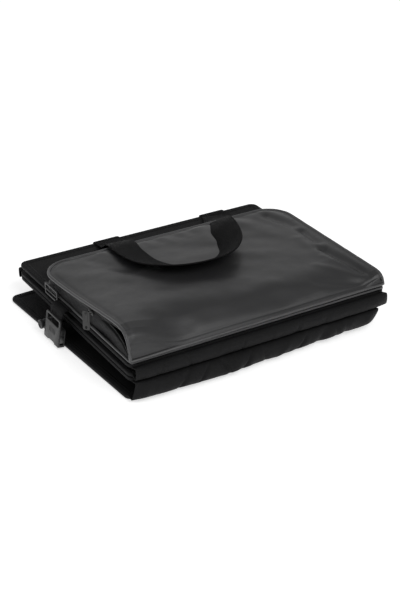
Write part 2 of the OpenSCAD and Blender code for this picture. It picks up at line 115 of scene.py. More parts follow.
def add(tree, kind, **values):
    """A shader node. A (node, output) pair links an input, anything else sets it."""
    n = tree.nodes.new(kind)
    for key, value in values.items():
        if key in ("operation", "feature", "data_type"):
            setattr(n, key, value)
            continue
        spot = n.inputs[int(key[1:]) if key in ("i0", "i1") else key.replace("_", " ")]
        if isinstance(value, tuple) and len(value) == 2 and hasattr(value[0], "outputs"):
            tree.links.new(value[0].outputs[value[1]], spot)
        else:
            spot.default_value = value
    return n


def blank(name, rough, **sockets):
    """A new finish and its tree; the shader's own sockets hold what is the same all over."""
    finish = bpy.data.materials.new(name)
    finish.use_nodes = True
    tree = finish.node_tree
    shader = tree.nodes["Principled BSDF"]
    shader.inputs["Roughness"].default_value = rough
    for key, value in sockets.items():
        shader.inputs[key.replace("_", " ")].default_value = value
    return finish, tree, shader


def two_tone(tree, shader, dark, light, factor):
    """The base colour, between two tones by a factor."""
    tone = add(tree, "ShaderNodeMix", data_type="RGBA", i0=factor)
    tone.inputs[6].default_value = (*dark, 1)
    tone.inputs[7].default_value = (*light, 1)
    tree.links.new(tone.outputs[2], shader.inputs["Base Color"])


def rough_by(tree, shader, low, high, factor):
    spread = add(tree, "ShaderNodeMapRange", Value=factor)
    spread.inputs["To Min"].default_value = low
    spread.inputs["To Max"].default_value = high
    tree.links.new(spread.outputs[0], shader.inputs["Roughness"])


def maths(tree, operation, a, b=0.0):
    return add(tree, "ShaderNodeMath", operation=operation, i0=a, i1=b)


def clouds(tree, scale, detail, **more):
    """Noise that stays with the piece, finer as the scale grows."""
    spot = add(tree, "ShaderNodeTexCoord")
    return add(tree, "ShaderNodeTexNoise", Vector=(spot, "Object"), Scale=scale, Detail=detail, **more)


def relief(tree, shader, *layers):
    """Bumps one over the other, each from a height node, a strength and a distance."""
    under = {}
    for height, strength, distance in layers:
        bump = add(tree, "ShaderNodeBump", Height=(height, 0), Strength=strength, Distance=distance, **under)
        under = {"Normal": (bump, 0)}
    tree.links.new(bump.outputs[0], shader.inputs["Normal"])


def woven(name, dark, light, pitch, depth, rough):
    """Plain weave: threads over and under at a pitch in millimetres, whichever way it faces."""
    finish, tree, shader = blank(name, rough, Specular_IOR_Level=0.12)
    spot = add(tree, "ShaderNodeTexCoord")
    grown = add(tree, "ShaderNodeVectorMath", operation="SCALE", Vector=(spot, "Object"),
                Scale=2 * math.pi / (pitch * MM))
    waves = add(tree, "ShaderNodeVectorMath", operation="SINE", Vector=(grown, 0))
    part = add(tree, "ShaderNodeSeparateXYZ", Vector=(waves, 0))
    pairs = [maths(tree, "MULTIPLY", (part, a), (part, b)) for a, b in ((0, 1), (1, 2), (2, 0))]
    two = maths(tree, "ADD", (pairs[0], 0), (pairs[1], 0))
    cloth = maths(tree, "ADD", (two, 0), (pairs[2], 0))
    cloud = clouds(tree, 30.0, 3.0)
    relief(tree, shader, (cloth, 0.6, depth * MM), (cloud, 0.5, 0.0012))
    two_tone(tree, shader, dark, light, (cloud, 0))
    rough_by(tree, shader, rough - 0.12, rough + 0.1, (cloud, 0))
    return finish


def piece(name, points, faces, finish, sharp=40, uv=None):
    """A mesh piece from points in millimetres, outward faces, smooth but for its sharp edges."""
    mesh = bpy.data.meshes.new(name)
    mesh.from_pydata([tuple(float(c) * MM for c in p) for p in points], [],
                     [tuple(int(i) for i in f) for f in faces])
    if uv is not None:
        layer = mesh.uv_layers.new(name="UVMap")
        loops = np.zeros(len(mesh.loops), np.int32)
        mesh.loops.foreach_get("vertex_index", loops)
        layer.data.foreach_set("uv", np.asarray(uv, np.float32)[loops].ravel())
    bm = bmesh.new()
    bm.from_mesh(mesh)
    bmesh.ops.recalc_face_normals(bm, faces=bm.faces)
    bm.to_mesh(mesh)
    bm.free()
    mesh.materials.append(finish)
    mesh.shade_smooth()
    mesh.set_sharp_from_angle(angle=math.radians(sharp))
    return link(bpy.data.objects.new(name, mesh))


def quads(rows, cols, start=0, wrap=False):
    """Faces of a grid of points stored row after row; wrap joins the last column to the first."""
    last = cols if wrap else cols - 1
    return [(start + r * cols + c, start + r * cols + (c + 1) % cols,
             start + (r + 1) * cols + (c + 1) % cols, start + (r + 1) * cols + c)
            for r in range(rows - 1) for c in range(last)]


def rim_of(rows, cols):
    """The points round the edge of such a grid, in turn."""
    return (list(range(cols)) + [r * cols + cols - 1 for r in range(1, rows)]
            + [(rows - 1) * cols + c for c in range(cols - 2, -1, -1)]
            + [r * cols for r in range(rows - 2, 0, -1)])


def ripple(x, y, z=0.0, size=40.0):
    """Smooth noise from -1 to 1 with features of a size in millimetres."""
    return noise.noise(Vector((x / size, y / size, z / size)))


def eased(x, y, w, d, r, front=True):
    """Moves a point of a w by d rectangle so that its corners are round."""
    if not front and y < 0:
        return x, y
    a, b = abs(x) - (w / 2 - r), abs(y) - (d / 2 - r)
    if a <= 0 or b <= 0:
        return x, y
    a, b = a / r, b / r
    u, v = a * math.sqrt(1 - b * b / 2) * r, b * math.sqrt(1 - a * a / 2) * r
    return math.copysign(w / 2 - r + u, x), math.copysign(d / 2 - r + v, y)


SKEW = math.radians(3.0)


def skew(x, y):
    """The lowest panel lies a little askew: its rear left corner stands furthest out."""
    y += 9 * max(0.0, -y / 155) * (0.5 - x / PANEL_W)
    return x * math.cos(SKEW) - y * math.sin(SKEW) - BASE_SHIFT, x * math.sin(SKEW) + y * math.cos(SKEW)


def slab(low, high, seed, place):
    """Points and faces of one covered panel: upper and lower faces joined by a round edge."""
    w, d, nx, ny = PANEL_W - 1.4, PANEL_D - 1.4, 62, 52
    xs = np.linspace(-w / 2, w / 2, nx)
    ys = np.linspace(-d / 2, d / 2, ny)
    points = []
    for side, z in ((0, low), (1, high)):
        for y in ys:
            for x in xs:
                edge = min(w / 2 - abs(x), d / 2 - abs(y))
                fade = min(1.0, edge / 25)
                wave = 0.35 * fade * ripple(x, y, seed + 50 * side, 60) + 0.15 * fade * ripple(x, y, seed, 14)
                drop = 0.9 * max(0.0, 1 - edge / 3.0) ** 2
                px, py = place(*eased(x, y, w, d, PANEL_R))
                points.append((px, py, z + (-drop if side else drop) + wave))
    faces = [f[::-1] for f in quads(ny, nx)] + quads(ny, nx, nx * ny)
    loop = rim_of(ny, nx)
    middle = len(points)
    for i in loop:
        a, b = points[i], points[i + nx * ny]
        grow = 0.5 / max(1e-6, math.hypot(a[0], a[1]))
        points.append((a[0] * (1 + grow), a[1] * (1 + grow), (a[2] + b[2]) / 2))
    n = len(loop)
    for k in range(n):
        j = (k + 1) % n
        faces.append((loop[k], loop[j], middle + j, middle + k))
        faces.append((middle + k, middle + j, loop[j] + nx * ny, loop[k] + nx * ny))
    return points, faces


def straight(x, y):
    return x, y


def repaint(node, finish):
    """A CAD piece that stays as it is, in another finish."""
    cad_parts[node].data.materials.clear()
    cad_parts[node].data.materials.append(finish)


nylon = woven("black_nylon", (0.006, 0.006, 0.0063), (0.0125, 0.0125, 0.013), 0.9, 0.09, 0.64)
panels = {
    "base": ("base", 0.0, 3, skew),
    "second": ("second_panel", 23.1, 5, straight),
    "third": ("third_panel", 29.1, 7, straight),
    "top": ("top_panel", 41.1, 9, straight),
}
for key, (body, low, seed, place) in panels.items():
    points, faces = slab(low + 0.35, low + PANEL_T - 0.35, seed, place)
    cover = piece(key + "_nylon_cover", points, faces, nylon)
    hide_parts(key + "_cover")
    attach(cover, body)
grey_board, tree, shader = blank("grey_board", 0.85)
two_tone(tree, shader, (0.16, 0.14, 0.12), (0.30, 0.27, 0.23), (clouds(tree, 900.0, 4.0), 0))
for key in panels:
    repaint(key + "_board", grey_board)

# ------------------------------------------------------------------ binding and its stitches
# Ribbed black tape folded over every free edge of a panel and sewn through with two rows of
# thread. The stitches repeat along the tape's path, so one node tree sews all of them.
TAPE_W, TAPE_STEP = 10, 4.0


def caps(rows, cols, start=0):
    """The two end faces of a row of rings."""
    last = start + (rows - 1) * cols
    return [tuple(range(start, start + cols))[::-1], tuple(range(last, last + cols))]


def edge_path(free_rear):
    """The bound edge as runs of (point, outward): along both sides, and along a free rear."""
    w, d, r = PANEL_W / 2, PANEL_D / 2, PANEL_R

    def line(a, b, out):
        n = max(2, int(math.dist(a, b) / TAPE_STEP))
        return [((a[0] + (b[0] - a[0]) * i / n, a[1] + (b[1] - a[1]) * i / n), out) for i in range(n)]

    def corner(cx, cy, a0):
        return [((cx + r * math.cos(a), cy + r * math.sin(a)), (math.cos(a), math.sin(a)))
                for a in np.radians(np.linspace(a0, a0 + 90, 8))[:-1]]
    right = corner(w - r, -d + r, -90) + line((w, -d + r), (w, d - r), (1, 0)) + corner(w - r, d - r, 0)
    left = corner(-w + r, d - r, 90) + line((-w, d - r), (-w, -d + r), (-1, 0)) + corner(-w + r, -d + r, 180)
    if not free_rear:
        return [right + [((w - r, d), (0, 1))], left + [((-w + r, -d), (0, -1))]]
    return [right + line((w - r, d), (-w + r, d), (0, 1)) + left + [((-w + r, -d), (0, -1))]]


def ribbed(name, dark, light, rough, rib, depth):
    """Narrow woven tape: ribs run along it, fine threads across, paler in random patches."""
    finish, tree, shader = blank(name, rough, Specular_IOR_Level=0.09)
    sheet = add(tree, "ShaderNodeUVMap")
    part = add(tree, "ShaderNodeSeparateXYZ", Vector=(sheet, 0))
    along = maths(tree, "MULTIPLY", (part, 0), 2 * math.pi / rib)
    across = maths(tree, "MULTIPLY", (part, 1), 2 * math.pi / (rib * 1.4))
    rows = maths(tree, "SINE", (along, 0))
    cords = maths(tree, "SINE", (across, 0))
    both = maths(tree, "MULTIPLY", (rows, 0), (cords, 0))
    total = maths(tree, "ADD", (both, 0), (rows, 0))
    cloud = clouds(tree, 60.0, 4.0)
    relief(tree, shader, (total, 0.7, depth * MM), (cloud, 0.4, 0.0006))
    two_tone(tree, shader, dark, light, (cloud, 0))
    rough_by(tree, shader, rough - 0.1, rough + 0.1, (cloud, 0))
    return finish


def beads_tree(name):
    """Node tree: one small bead after another along a path, each lying along it."""
    tree = bpy.data.node_groups.new(name, "GeometryNodeTree")
    face = tree.interface
    face.new_socket("Path", in_out="INPUT", socket_type="NodeSocketGeometry")
    for label, start in (("Pitch", 0.004), ("Length", 0.003), ("Width", 0.0008)):
        face.new_socket(label, in_out="INPUT", socket_type="NodeSocketFloat").default_value = start
    face.new_socket("Finish", in_out="INPUT", socket_type="NodeSocketMaterial")
    face.new_socket("Beads", in_out="OUTPUT", socket_type="NodeSocketGeometry")
    start, end = tree.nodes.new("NodeGroupInput"), tree.nodes.new("NodeGroupOutput")
    curve = tree.nodes.new("GeometryNodeMeshToCurve")
    even = tree.nodes.new("GeometryNodeResampleCurve")
    if hasattr(even, "mode"):
        even.mode = "LENGTH"
    bead = tree.nodes.new("GeometryNodeMeshUVSphere")
    bead.inputs["Segments"].default_value = 6
    bead.inputs["Rings"].default_value = 4
    bead.inputs["Radius"].default_value = 0.5
    size = tree.nodes.new("ShaderNodeCombineXYZ")
    shaped = tree.nodes.new("GeometryNodeTransform")
    tangent = tree.nodes.new("GeometryNodeInputTangent")
    turn = tree.nodes.new("FunctionNodeAlignRotationToVector")
    turn.axis = "X"
    put = tree.nodes.new("GeometryNodeInstanceOnPoints")
    real = tree.nodes.new("GeometryNodeRealizeInstances")
    paint = tree.nodes.new("GeometryNodeSetMaterial")
    wires = ((start, "Path", curve, 0), (curve, 0, even, "Curve"), (start, "Pitch", even, "Length"),
             (start, "Length", size, 0), (start, "Width", size, 1), (start, "Width", size, 2),
             (bead, "Mesh", shaped, "Geometry"), (size, 0, shaped, "Scale"), (tangent, 0, turn, "Vector"),
             (even, 0, put, "Points"), (shaped, 0, put, "Instance"), (turn, 0, put, "Rotation"),
             (put, 0, real, 0), (real, 0, paint, "Geometry"), (start, "Finish", paint, "Material"),
             (paint, 0, end, 0))
    for source, output, goal, entry in wires:
        tree.links.new(source.outputs[output], goal.inputs[entry])
    return tree


beads = beads_tree("beads_along_a_path")


def run_of_beads(name, paths, pitch, length, width, finish):
    """A plain mesh of beads along paths in millimetres: stitches or zip teeth."""
    points, edges = [], []
    for path in paths:
        edges += [(len(points) + i, len(points) + i + 1) for i in range(len(path) - 1)]
        points += [tuple(c * MM for c in p) for p in path]
    mesh = bpy.data.meshes.new(name)
    mesh.from_pydata(points, edges, [])
    guide = link(bpy.data.objects.new(name + "_guide", mesh))
    modifier = guide.modifiers.new("beads", "NODES")
    modifier.node_group = beads
    values = {"Pitch": pitch * MM, "Length": length * MM, "Width": width * MM, "Finish": finish}
    for item in beads.interface.items_tree:
        if item.in_out == "INPUT" and item.name in values:
            modifier[item.identifier] = values[item.name]
    ready = guide.evaluated_get(bpy.context.evaluated_depsgraph_get())
    result = bpy.data.meshes.new_from_object(ready)
    guide.modifiers.remove(modifier)
    bpy.data.objects.remove(guide)
    result.name = name
    result.shade_smooth()
    return link(bpy.data.objects.new(name, result))


tape = ribbed("binding_tape", (0.006, 0.006, 0.0065), (0.016, 0.016, 0.017), 0.55, 1.1, 0.12)
thread = woven("black_thread", (0.012, 0.012, 0.012), (0.03, 0.03, 0.03), 0.5, 0.05, 0.5)
for key, (body, low, seed, place) in panels.items():
    high = low + PANEL_T
    points, faces, uv, stitches = [], [], [], []
    for run in edge_path(key in ("base", "top")):
        path = [(place(*point), out) for point, out in run]
        start = len(points)
        for i, (p, o) in enumerate(path):
            pucker = 0.28 * ripple(*p, seed * 9.0, 9) + 0.25 * ripple(*p, seed, 30)
            flap = TAPE_W + 0.5 * ripple(*p, seed + 3.0, 25)
            profile = [(-flap, high - 0.55), (-flap + 0.5, high - 0.12 + pucker * 0.3),
                       (-flap / 2, high - 0.05 + pucker), (-2.2, high - 0.1 + pucker * 0.5),
                       (-0.6, high - 0.45), (0.0, high - 1.3), (0.15, low + 2.7), (0.0, low + 1.3),
                       (-0.6, low + 0.45),
                       (-2.2, low + 0.12), (-flap / 2, low + 0.06), (-flap + 0.5, low + 0.12),
                       (-flap, low + 0.55), (-2.0, low + 1.0), (-1.2, low + 2.7), (-2.0, high - 1.0)]
            for k, (a, b) in enumerate(profile):
                points.append((p[0] + o[0] * a, p[1] + o[1] * a, b))
                uv.append((i * TAPE_STEP, k * 2.5))
        rows, cols = len(path), len(profile)
        faces += quads(rows, cols, start, wrap=True) + caps(rows, cols, start)
        for inset in (3.2, 7.4):
            for z in (high + 0.1, low - 0.05 if low > 1 else 0.4):
                stitches.append([(p[0] - o[0] * inset, p[1] - o[1] * inset, z) for p, o in path])
    binding = piece(key + "_edge_tape", points, faces, tape, sharp=55, uv=uv)
    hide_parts(key + "_binding")
    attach(binding, body)
    sewn = run_of_beads(key + "_edge_stitches", stitches, 4.2, 3.2, 0.75, thread)
    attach(sewn, body)

# ------------------------------------------------------------------ fold cloths
# Soft nylon cloth sewn along two neighbouring panels, so that they fold like a book. Folded,
# each cloth stands out as a loose creased roll along the panels' edges.
FOLD_L, FOLD_END, TAPER, SEAM_IN = 352, 182, 18, 11.6


def cloth_shell(points, rows, cols, thick):
    """A closed thin sheet from a grid of points: both faces, and the rim between them."""
    grid = np.array(points, float).reshape(rows, cols, 3)
    du = np.gradient(grid, axis=0)
    dv = np.gradient(grid, axis=1)
    normal = np.cross(du, dv)
    normal /= np.maximum(np.linalg.norm(normal, axis=2, keepdims=True), 1e-9)
    a, b = grid + normal * thick / 2, grid - normal * thick / 2
    both = np.concatenate([a.reshape(-1, 3), b.reshape(-1, 3)])
    n = rows * cols
    faces = quads(rows, cols) + [f[::-1] for f in quads(rows, cols, n)]
    rim = rim_of(rows, cols)
    faces += [(p, q, q + n, p + n) for p, q in zip(rim, rim[1:] + rim[:1])]
    return both, faces


def pleat(x, at, width, depth):
    return depth * math.exp(-((x - at) / width) ** 2)


def fold_cloth(name, node, axis_y, axis_z, radius, outward, half, pleats, seed,
               turn=0.0, right=FOLD_END):
    """The creased roll of one fold, from the lower panel's edge round to the upper one's."""
    rows, cols = 210, 26
    points = []
    for i in range(rows):
        x = -FOLD_END + (FOLD_END + right) * i / (rows - 1)
        shut = max(0.0, (TAPER - FOLD_END - x) / TAPER, (x - right + TAPER) / TAPER) ** 2
        shut += 0.22 * max(0.0, min(1, (-110 - x) / 60)) * turn / SKEW
        corner = max(0.0, min(1.0, (-60 - x) / 110)) * (turn > 0)
        for j in range(cols):
            t = j / (cols - 1)
            a = math.radians(-126 + 252 * t)
            slack = 1 + 0.14 * ripple(x, 60 * t, seed, 45) + 0.10 * ripple(x, 40 * t, seed + 9, 13)
            slack -= 0.30 * max(0.0, 0.22 - abs(ripple(x + 24 * t, 30 * t, seed + 20, 26)))
            for at, width, depth, lean in pleats:
                slack += pleat(x, at + lean * (t - 0.5), width, depth) * math.sin(math.pi * t)
            slack *= 1 - 0.72 * shut
            y = axis_y + outward * (radius * slack * max(math.cos(a), -0.95))
            sag = 1.3 if turn == 0 and a < 0 else 1.12 if turn and a > 0 else 1.0
            z = axis_z + radius * (0.92 + 0.08 * slack) * math.sin(a) * sag
            pull = max(0.0, (abs(math.degrees(a)) - 100) / 26)
            y = y * (1 - pull) + (axis_y - outward * SEAM_IN) * pull
            z = z * (1 - pull) + (axis_z + math.copysign(half + 0.15, a)) * pull
            share = 0.5 - 0.5 * math.sin(max(-math.pi / 2, min(math.pi / 2, a)))
            points.append((x - 6 * share * (turn > 0), y + (x * math.sin(turn) + 9 * corner) * share,
                           max(z, 0.6 + 3.5 * corner * corner)))
    both, faces = cloth_shell(points, rows, cols, 0.8)
    cloth = piece(name, both, faces, nylon, sharp=60)
    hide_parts(node)
    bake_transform(cloth)


fold_cloth("lower_fold_cloth", "hinge_lower", -161, 14.3, 10.6, -1, 8.8,
           [(-168, 6, 0.10, 14), (-118, 3, -0.30, 20), (-104, 5, 0.20, -26), (-92, 2.5, -0.26, 30),
            (-60, 3, -0.34, -34), (-44, 7, 0.24, 16), (-30, 2.5, -0.28, 22), (-4, 3, -0.22, -20),
            (24, 6, 0.18, 30), (52, 3, -0.30, 26), (84, 7, -0.5, 6), (104, 3, -0.2, -22),
            (120, 4, -0.24, -18), (150, 6, 0.10, 12)], 11, SKEW, 170)
fold_cloth("upper_fold_cloth", "hinge_upper", -161, 37.85, 6.9, -1, 3.25,
           [(-150, 3, -0.2, 8), (-112, 2.5, -0.3, -12), (-70, 5, 0.2, 14), (-36, 2.5, -0.3, 12),
            (10, 4, 0.2, -10), (44, 3, -0.3, 8), (84, 5, -0.38, 4), (130, 4, 0.1, -6)], 23)
fold_cloth("middle_fold_cloth", "hinge_middle", 161, 28.85, 6.2, 1, 0.45,
           [(-165, 5, 0.28, 6), (-120, 3, -0.18, -9), (-60, 5, 0.12, 10), (0, 3, -0.2, 8), (70, 5, 0.14, -8),
            (130, 3, -0.2, 9)], 37)

# ------------------------------------------------------------------ pouch lid
# Satin dark grey leatherette on a thin lining, cut in one piece and rolled over the pouch's
# front. It bags up at the front left, where the zip is open, and puckers along its seams.
DECK = 46.6
SKIN_W, SKIN_FRONT, SKIN_REAR, SKIN_R = 362, -151, 91, 34
SKIN_D, SKIN_MID = SKIN_REAR - SKIN_FRONT, (SKIN_REAR + SKIN_FRONT) / 2
PIPE_R = 2.0
left_line = ((-152, 50), (-150.5, 61), (-148, 70), (-143, 78), (-136, 83), (-124, 85), (-105, 83.5),
             (-80, 80.5), (-51, 76.5), (-20, 72.5), (12, 69), (40, 66.5), (70, 65.6), (100, 65.6))
right_line = ((-152, 53), (-149, 60), (-144, 64.5), (-136, 66), (-110, 66), (100, 65.6))


def on_line(line, y):
    ys, zs = zip(*line)
    return float(np.interp(y, ys, zs))


def edge_height(x, y):
    """Height of the lid's seam line: from the left side's line over to the right side's."""
    t = (x + SKIN_W / 2) / SKIN_W
    t = 1 - (1 - min(max(t, 0), 1)) ** 1.35
    a, b = on_line(left_line, y), on_line(right_line, y)
    return a + (b - a) * t


# Creases as (x, y) to (x, y), half width and height; a negative height is a valley
creases = (
    ((148, 66), (160, 22), 8, -2.6), ((163, 2), (161, -36), 6, -2.4), ((156, -58), (170, -142), 8, -4.6),
    ((144, -20), (138, -90), 9, 1.4), ((150, 55), (120, -60), 26, 1.3),
    ((166, -146), (118, -96), 7, 1.5), ((166, -146), (96, -128), 6, -1.3), ((168, -140), (140, -80), 5, 0.9),
    ((96, -140), (20, -104), 14, 0.7), ((40, -112), (-40, -126), 14, 0.7), ((-30, -118), (60, -60), 24, -1.0),
    ((-118, -20), (-60, -96), 12, -1.3), ((-104, -40), (-40, -120), 12, 0.9),
    ((-160, -150), (-120, -118), 9, 0.7), ((-150, -148), (-96, -136), 7, -0.6),
    ((-100, -20), (-150, 30), 20, 1.1), ((-118, 66), (-96, 12), 10, -1.4),
    ((-100, 84), (-70, 30), 8, 0.9), ((-36, 86), (-31, 62), 5, 0.5), ((-21, 88), (-17, 66), 4, -0.5),
    ((-9, 88), (-3, 60), 5, 0.6), ((7, 88), (12, 68), 4.5, -0.5), ((19, 88), (23, 64), 5, 0.5),
    ((31, 88), (34, 68), 4, -0.4), ((46, 84), (40, 30), 12, 1.3), ((100, 80), (122, 12), 12, 1.3),
    ((120, 84), (140, 30), 9, -1.3), ((70, 86), (80, 50), 7, -0.8), ((-60, 86), (-54, 52), 6, -0.7),
    ((-20, 0), (90, -40), 24, 1.0), ((0, 30), (100, 10), 16, -0.9), ((-120, -95), (-30, -70), 20, 1.0),
    ((-80, -140), (0, -146), 8, 0.4), ((10, -140), (80, -146), 8, 0.4), ((150, 84), (168, 40), 7, 0.7),
)


def creased(x, y):
    """How far the leatherette stands over or under its smooth crown."""
    total = 0.0
    for (ax, ay), (bx, by), width, height in creases:
        dx, dy = bx - ax, by - ay
        t = ((x - ax) * dx + (y - ay) * dy) / (dx * dx + dy * dy)
        near = min(max(t, 0), 1)
        gap = math.hypot(x - ax - dx * near, y - ay - dy * near)
        total += height * math.exp(-(gap / width) ** 2) * (1 - 0.35 * near)
    return (1.45 * total + 1.2 * ripple(x, y, 4.0, 85) + 0.75 * ripple(x + y, y - 0.4 * x, 9.0, 34)
            + 0.14 * ripple(x, y, 3.0, 13))


def lid_top(x, y):
    """Height of the lid's face: a low crown inside the seam line, rolled over at the front."""
    side = 1 - abs(x) / (SKIN_W / 2)
    back = (SKIN_REAR - y) / SKIN_D
    if y > SKIN_REAR - SKIN_R and abs(x) > SKIN_W / 2 - SKIN_R:
        c = math.hypot(abs(x) - SKIN_W / 2 + SKIN_R, y - SKIN_REAR + SKIN_R)
        side = back = max(0.0, (SKIN_R - c) / (SKIN_W / 2))
    rim = min(side * SKIN_W / 2, back * SKIN_D)
    crown = 3.4 * (1 - math.exp(-max(rim, 0) / 9)) + 2.0 * min(1, side * 1.6) * min(1, back * 2.2)
    lip = min(1.0, max(0.0, (y - SKIN_FRONT) / 10))
    seam = -0.8 * math.exp(-((min(rim, y - SKIN_FRONT) - 4.5) / 1.4) ** 2)
    high = edge_height(x, y - max(0.0, 1 - (y - SKIN_FRONT) / 6)) + crown * lip
    inside = min(1.0, side * SKIN_W / 2 / (78 if x < 0 else 30))
    inside = inside * inside * (3 - 2 * inside)
    low = edge_height(x, SKIN_FRONT - 1)
    s = min(1.0, (y - SKIN_FRONT) / (74 + 9 * ripple(x, 0.0, 12.0, 70)))
    rolled = low + (edge_height(x, max(y, -134)) + crown - low) * (1 - (1 - s) ** 2.7)
    return high + (rolled - high) * inside + creased(x, y) * min(1, rim / 11) * lip + seam


def leather(name, dark, light, rough):
    """Coated cloth with a fine pebbled grain, a satin face and faint scuffs."""
    finish, tree, shader = blank(name, rough, Specular_IOR_Level=0.42, Coat_Weight=0.08, Coat_Roughness=0.3)
    spot = add(tree, "ShaderNodeTexCoord")
    grain = add(tree, "ShaderNodeTexVoronoi", feature="SMOOTH_F1", Vector=(spot, "Object"), Scale=1300.0)
    pores = clouds(tree, 2600.0, 2.0)
    scuff = clouds(tree, 70.0, 5.0, Roughness=0.7)
    relief(tree, shader, (grain, 0.35, 0.00012), (pores, 0.25, 0.00005), (scuff, 0.25, 0.0005))
    two_tone(tree, shader, dark, light, (clouds(tree, 11.0, 4.0), 0))
    rough_by(tree, shader, rough - 0.07, rough + 0.09, (scuff, 0))
    return finish


leatherette = leather("leatherette", (0.019, 0.019, 0.0198), (0.029, 0.029, 0.03), 0.43)
rows, cols = 190, 160
points = []
for i in range(cols):
    t = i / (cols - 1)
    x = SKIN_W * (t - 0.5) - 9 * math.sin(2 * math.pi * t)
    for j in range(rows):
        s = j / (rows - 1)
        y = SKIN_FRONT + SKIN_D * (0.22 * s + 0.78 * s * s)
        px, py = eased(x, y - SKIN_MID, SKIN_W, SKIN_D, SKIN_R, front=False)
        py += SKIN_MID
        points.append((px, py, lid_top(px, py)))
skin, faces = cloth_shell(points, cols, rows, 1.4)
lid = piece("pouch_lid_leatherette", skin, faces, leatherette, sharp=70)
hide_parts("pouch_lid")
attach(lid, "lid")

# ------------------------------------------------------------------ piping
# Leatherette cord piping sewn into the lid's seam all round, and along the pouch's foot. A
# narrow flange beside the cord goes into the seam.


def tube(path, radius, sides=10):
    """A round cord along a path, its ends closed. radius is a number or one for each point."""
    path = np.array(path, float)
    ahead = np.gradient(path, axis=0)
    ahead /= np.maximum(np.linalg.norm(ahead, axis=1, keepdims=True), 1e-9)
    side = np.cross(ahead, (0, 0, 1.0))
    flat = np.linalg.norm(side, axis=1) < 0.2
    side[flat] = np.cross(ahead[flat], (1.0, 0, 0))
    for i in range(1, len(side)):
        if side[i] @ side[i - 1] < 0:
            side[i] = -side[i]
    side /= np.linalg.norm(side, axis=1, keepdims=True)
    up = np.cross(side, ahead)
    radius = np.broadcast_to(radius, (len(path),))
    points = []
    for p, s, u, r in zip(path, side, up, radius):
        for k in range(sides):
            a = 2 * math.pi * k / sides
            points.append(p + (s * math.cos(a) + u * math.sin(a)) * r)
    return points, quads(len(path), sides, wrap=True) + caps(len(path), sides)


def joined(parts):
    """Several (points, faces) as one."""
    points, faces = [], []
    for more, some in parts:
        faces += [tuple(i + len(points) for i in f) for f in some]
        points += [tuple(p) for p in more]
    return points, faces


def pouch_side(out, y_from, n=60):
    """Plan points along the pouch's left side, rear and right side, an amount out of the skin."""
    w, r = SKIN_W / 2 + out, SKIN_R + out
    back = SKIN_REAR + out
    round_the_corner = np.linspace(0, math.pi / 2, 14)[1:]
    run = [(-w, y) for y in np.linspace(y_from, back - r, n)]
    run += [(-w + r - r * math.cos(a), back - r + r * math.sin(a)) for a in round_the_corner]
    run += [(x, back) for x in np.linspace(-w + r, w - r, 70)[1:]]
    run += [(w - r + r * math.sin(a), back - r + r * math.cos(a)) for a in round_the_corner]
    return run + [(w, y) for y in np.linspace(back - r, y_from, n)[1:]]


# The piping is the lid's leatherette painted lighter: a painted highlight for the light the round cord
# catches.
piping_painted_highlight = leather("piping_leatherette", (0.042, 0.042, 0.043), (0.078, 0.078, 0.08), 0.36)
PIPE_OUT = 2.1
upper = [(x, y, edge_height(x, y) + 0.3 + 0.25 * ripple(x, y, 1.0, 14))
         for x, y in pouch_side(PIPE_OUT, -149)]
low_front = []
for x in np.linspace(SKIN_W / 2 + PIPE_OUT, -SKIN_W / 2 - PIPE_OUT, 90):
    z = edge_height(x, SKIN_FRONT - 1) + 0.2 + 0.3 * ripple(x, 3.0, 1.0, 22)
    low_front.append((x, SKIN_FRONT - 1.9, z))
corner_left = [(-SKIN_W / 2 - PIPE_OUT, y, on_line(left_line, y) + 0.2) for y in (-152, -151.2, -150.2)]
corner_right = [(SKIN_W / 2 + PIPE_OUT, y, on_line(right_line, y) + 0.2) for y in (-150.2, -151.2, -152)]
ring = corner_left + upper + corner_right + low_front[1:-1]
ring.append(ring[0])
flange = [(x * 0.9915, y - 0.9 if y > 80 else y + (0.8 if y < -148 else 0), z + 0.4) for x, y, z in ring]
cord_and_flange = joined([tube(ring, PIPE_R * 0.92), tube(flange, 1.0, 6)])
lid_pipe = piece("lid_piping", *cord_and_flange, piping_painted_highlight, sharp=60)
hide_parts("pouch_lid_piping")
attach(lid_pipe, "lid")

foot = [(x, y, DECK + PIPE_R + 0.2 + 0.3 * ripple(x, y, 8.0, 18)) for x, y in pouch_side(1.6, -146)]
front_foot = [(x, -152.2, DECK + 1.5 + 0.3 * ripple(x, 5.0, 8.0, 24))
              for x in np.linspace(SKIN_W / 2, -SKIN_W / 2, 80)]
foot_ends = [(side * (SKIN_W / 2 + 0.8), -150.6, DECK + 1.6) for side in (-1, 1)]
foot_ring = foot_ends[:1] + foot + foot_ends[1:] + front_foot + foot_ends[:1]
foot_pipe = piece("pouch_foot_piping", *tube(foot_ring, PIPE_R * 0.85), piping_painted_highlight, sharp=60)
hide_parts("pouch_lower_piping")
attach(foot_pipe, "top_panel")

# ------------------------------------------------------------------ pouch gusset and zip
# The wall of the pouch: black nylon from the foot piping up to the zip. At the front left the
# zip is open, and the wall bags up close under the lid, so that only a narrow mouth shows.
SLIDER_Y, MOUTH_L = -51, 97
ZIP_Z = DECK + 13.8
CORE_X, CORE_Y = SKIN_W / 2 - SKIN_R, SKIN_REAR - SKIN_R
gusset_left = ((-150, 50.5), (-141, 56), (-126, 63.5), (-108, 68.5), (-85, 70.6), (-62, 69.6), (-48, 68.3),
               (-20, 65.6), (12, 63.2), (60, 61.2), (100, 60.8))


def zip_height(x, y):
    """Height of the lower zip row along the pouch's side."""
    if x < -SKIN_W / 2 + SKIN_R * 0.6 and y < 70:
        return on_line(gusset_left, y)
    return ZIP_Z


def open_share(x, y):
    """How far along the open mouth a point lies, from 0 at the slider to 1 past the front."""
    return max(0.0, min(1.0, (SLIDER_Y - y) / MOUTH_L)) if x < 0 else 0.0


